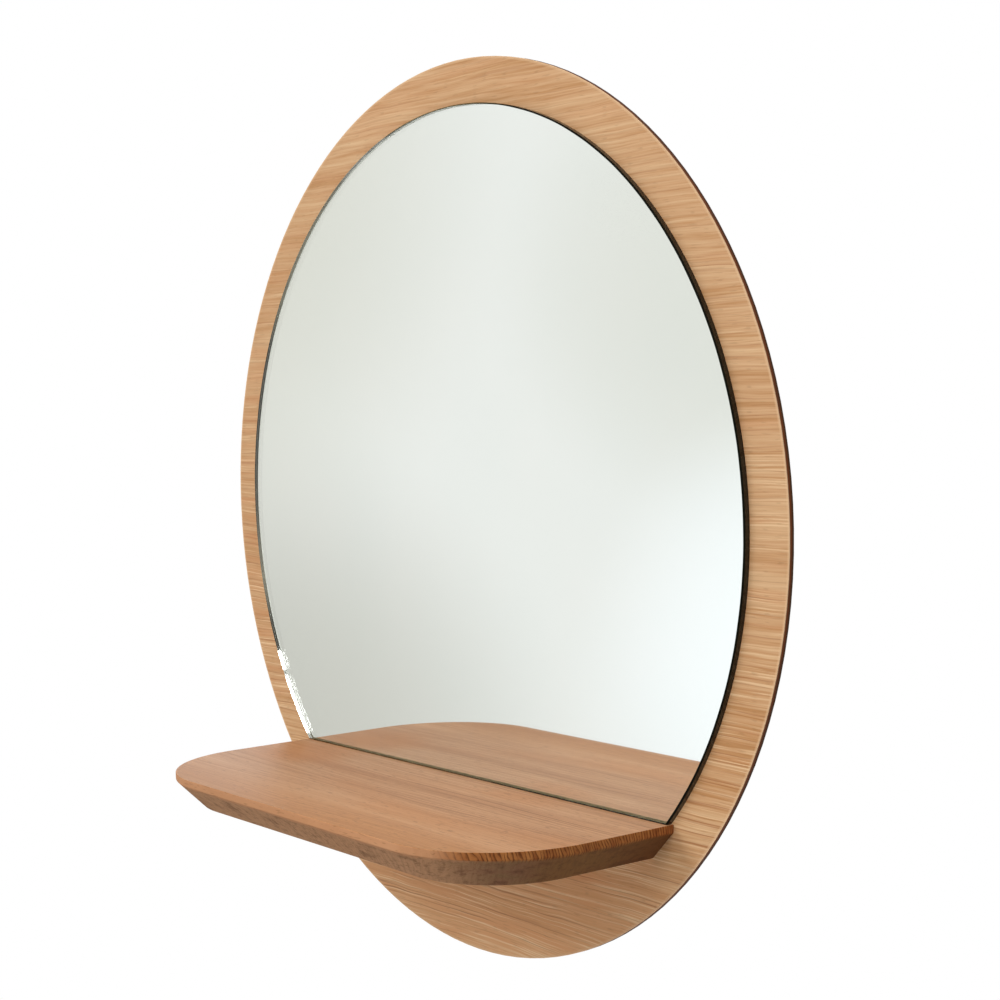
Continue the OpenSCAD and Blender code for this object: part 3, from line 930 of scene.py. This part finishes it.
# %% Upright edge
edge = stain(tree, long_grain, facing.outputs["Z"], 0.6, 0.2, "#C28E69", 0.6)
ticked = add(
    tree, "ShaderNodeMapRange", {"Value": to_side, "From Min": 0.34, "From Max": 0.66},
    interpolation_type="SMOOTHSTEP"
).outputs["Result"]
edge = add(tree, "ShaderNodeMix", {0: ticked, 6: edge, 7: end_grain}, data_type="RGBA").outputs[2]
ragged = sum_of(tree, split.outputs["Z"], (ticks, 1.2, 0.5), (blotches, 3.0, 0.5))
below_edge = add(
    tree, "ShaderNodeMapRange",
    {"Value": ragged, "From Min": shelf_top_mm - 4.2, "From Max": shelf_top_mm - 6.0},
    interpolation_type="SMOOTHSTEP"
).outputs["Result"]
colour = add(tree, "ShaderNodeMix", {0: below_edge, 6: edge, 7: sawn}, data_type="RGBA").outputs[2]
print("upright edge ends near", round(shelf_top_mm - 4.2, 1), "mm")

# %% Pores, gloss and eased edges
pore = stretched_noise(tree, grain, (7, 0.8, 0.8), 0.0)  # drawn wider than real, as on the veneer
colour = stain(tree, colour, pore, 0.66, 0.76, "#7C5434", 0.35)

relief = sum_of(tree, 0.0, (streaks, 0.5, 0.0), (pore, -0.5, 0.0), (ticks, -0.15, 0.0))
bump = add(tree, "ShaderNodeBump", {"Height": relief, "Strength": 0.3, "Distance": 0.00015}).outputs[0]
gloss = add(
    tree, "ShaderNodeMapRange", {"Value": streaks, "To Min": 0.42, "To Max": 0.54}
).outputs["Result"]
# The ends and the sawn face are rougher than the top.
gloss = sum_of(tree, gloss, (facing.outputs["Z"], -0.25, 1.0))
skin = add(
    tree, "ShaderNodeBsdfPrincipled",
    {"Base Color": colour, "Roughness": gloss, "IOR": 1.5, "Specular IOR Level": 0.14, "Normal": bump}
)
add(tree, "ShaderNodeOutputMaterial", {"Surface": skin.outputs[0]})
dress(shelf_oak, "shelf")
ease_edges("shelf", 0.0004)

# %% [markdown]
# ## Pine rails and batten
#
# What carries the mirror hides behind it and is plain pine, planed and left raw. Pine shows clear
# growth rings: broad cream early wood and narrow amber late wood. The rings are drawn as circles
# round a log axis that lies outside the stick, so faces and ends match as they do in a real stick.

# %% Pine material
pine, tree = new_material("pine_planed")
spot = place_in_mm(tree)
bent = stretched_noise(tree, spot, (180, 40, 40), 1.0)
split = add(tree, "ShaderNodeSeparateXYZ", {0: spot})
axis_below, axis_behind, pine_ring_mm = 95.0, 40.0, 3.4  # mm, from the middle of the wall rail
lift = sum_of(tree, axis_below, (split.outputs["Z"], 1.0, 0.0), (bent, 14.0, 0.5))
deep = add(tree, "ShaderNodeMath", {0: split.outputs["Y"], 1: axis_behind}, operation="SUBTRACT").outputs[0]
from_axis = add(tree, "ShaderNodeCombineXYZ", {"Y": deep, "Z": lift}).outputs[0]
from_axis = add(tree, "ShaderNodeVectorMath", {0: from_axis}, operation="LENGTH").outputs["Value"]
ring = add(tree, "ShaderNodeMath", {0: from_axis, 1: pine_ring_mm}, operation="DIVIDE").outputs[0]
ring = add(tree, "ShaderNodeMath", {0: ring}, operation="FRACT").outputs[0]
fibres = stretched_noise(tree, spot, (40, 1.1, 1.1), 2.0)
tone = sum_of(tree, 0.0, (ring, 0.75, 0.0), (fibres, 0.4, 0.3))
colour = add(
    tree, "ShaderNodeValToRGB", {"Fac": tone},
    stops=[(0.05, "#E8CFA4"), (0.45, "#E1C394"), (0.75, "#D1A36C"), (0.86, "#C18F58"), (0.95, "#E1C59A")]
).outputs[0]
bump = add(tree, "ShaderNodeBump", {"Height": tone, "Strength": 0.2, "Distance": 0.0001}).outputs[0]
skin = add(
    tree, "ShaderNodeBsdfPrincipled", {"Base Color": colour, "Roughness": 0.62, "IOR": 1.5, "Normal": bump}
)
add(tree, "ShaderNodeOutputMaterial", {"Surface": skin.outputs[0]})
dress(pine, "shelf_batten", "hanging_rail", "wall_rail")
ease_edges("shelf_batten", 0.0006)
ease_edges("hanging_rail", 0.0004)
ease_edges("wall_rail", 0.0004)

# %% [markdown]
# ## Beech dowels
#
# Beech is fine and even, pinkish, with short dark flecks a millimetre or two long. A picture of beech
# would have to be wrapped round each dowel, so the flecks are drawn in space, with their long way along it.

# %% Beech
beech, tree = new_material("beech_turned")
spot = place_in_mm(tree)
ground_tone = stretched_noise(tree, spot, (6, 40, 6), 2.0)
colour = add(
    tree, "ShaderNodeValToRGB", {"Fac": ground_tone}, stops=[(0.3, "#CFAB7E"), (0.7, "#DFBF94")]
).outputs[0]
fleck = stretched_noise(tree, spot, (0.6, 2.2, 0.6), 0.0)
colour = stain(tree, colour, fleck, 0.64, 0.72, "#A97E54")
bump = add(tree, "ShaderNodeBump", {"Height": fleck, "Strength": 0.2, "Distance": 0.0001}).outputs[0]
skin = add(
    tree, "ShaderNodeBsdfPrincipled", {"Base Color": colour, "Roughness": 0.55, "IOR": 1.5, "Normal": bump}
)
add(tree, "ShaderNodeOutputMaterial", {"Surface": skin.outputs[0]})
dress(beech, "shelf_dowel_left", "shelf_dowel_right")

# %% [markdown]
# ## Zinc-plated screws
#
# The screws are steel with bright zinc: smooth, a little blue, with faint cloudy patches that are yellower.
# Tone and roughness follow the same clouds, because both come from how thick the zinc lies.

# %% Zinc-plated steel
zinc, tree = new_material("steel_bright_zinc_plated")
spot = place_in_mm(tree)
cloud = stretched_noise(tree, spot, (1.8, 1.8, 1.8), 3.0)
colour = add(
    tree, "ShaderNodeValToRGB", {"Fac": cloud},
    stops=[(0.3, "#B4BAC4"), (0.55, "#C6C9CE"), (0.75, "#CFCBBE")]
).outputs[0]
rough = add(tree, "ShaderNodeMapRange", {"Value": cloud, "To Min": 0.20, "To Max": 0.42}).outputs["Result"]
bump = add(
    tree, "ShaderNodeBump",
    {"Height": stretched_noise(tree, spot, (0.4, 0.4, 0.4), 1.0), "Strength": 0.15, "Distance": 0.00005}
).outputs[0]
skin = add(
    tree, "ShaderNodeBsdfPrincipled",
    {"Base Color": colour, "Metallic": 1.0, "Roughness": rough, "Normal": bump}
)
add(tree, "ShaderNodeOutputMaterial", {"Surface": skin.outputs[0]})
dress(zinc, *[f"shelf_screw_{i}" for i in range(1, 5)])

# %% [markdown]
# ## Felt pads
#
# The pads are pressed wool, a soft tangle of grey fibres. Hairs would be thousands of strands on two pads
# that face the wall, so fine noise gives the tangle, a bump the nap, and a little sheen the fuzz.

# %% Felt
felt, tree = new_material("wool_felt_pressed")
spot = place_in_mm(tree)
fluff = stretched_noise(tree, spot, (0.7, 0.7, 0.7), 4.0, 0.7)
melange = stretched_noise(tree, spot, (3, 3, 3), 2.0)
tone = sum_of(tree, 0.0, (fluff, 0.7, 0.0), (melange, 0.3, 0.0))
colour = add(
    tree, "ShaderNodeValToRGB", {"Fac": tone},
    stops=[(0.35, "#77726B"), (0.5, "#8E8A84"), (0.65, "#A8A49C")]
).outputs[0]
bump = add(tree, "ShaderNodeBump", {"Height": fluff, "Strength": 0.8, "Distance": 0.0004}).outputs[0]
skin = add(
    tree, "ShaderNodeBsdfPrincipled",
    {
        "Base Color": colour, "Roughness": 0.95, "IOR": 1.5, "Normal": bump, "Sheen Weight": 0.3,
        "Sheen Roughness": 0.5
    }
)
add(tree, "ShaderNodeOutputMaterial", {"Surface": skin.outputs[0]})
dress(felt, "wall_pad_left", "wall_pad_right")
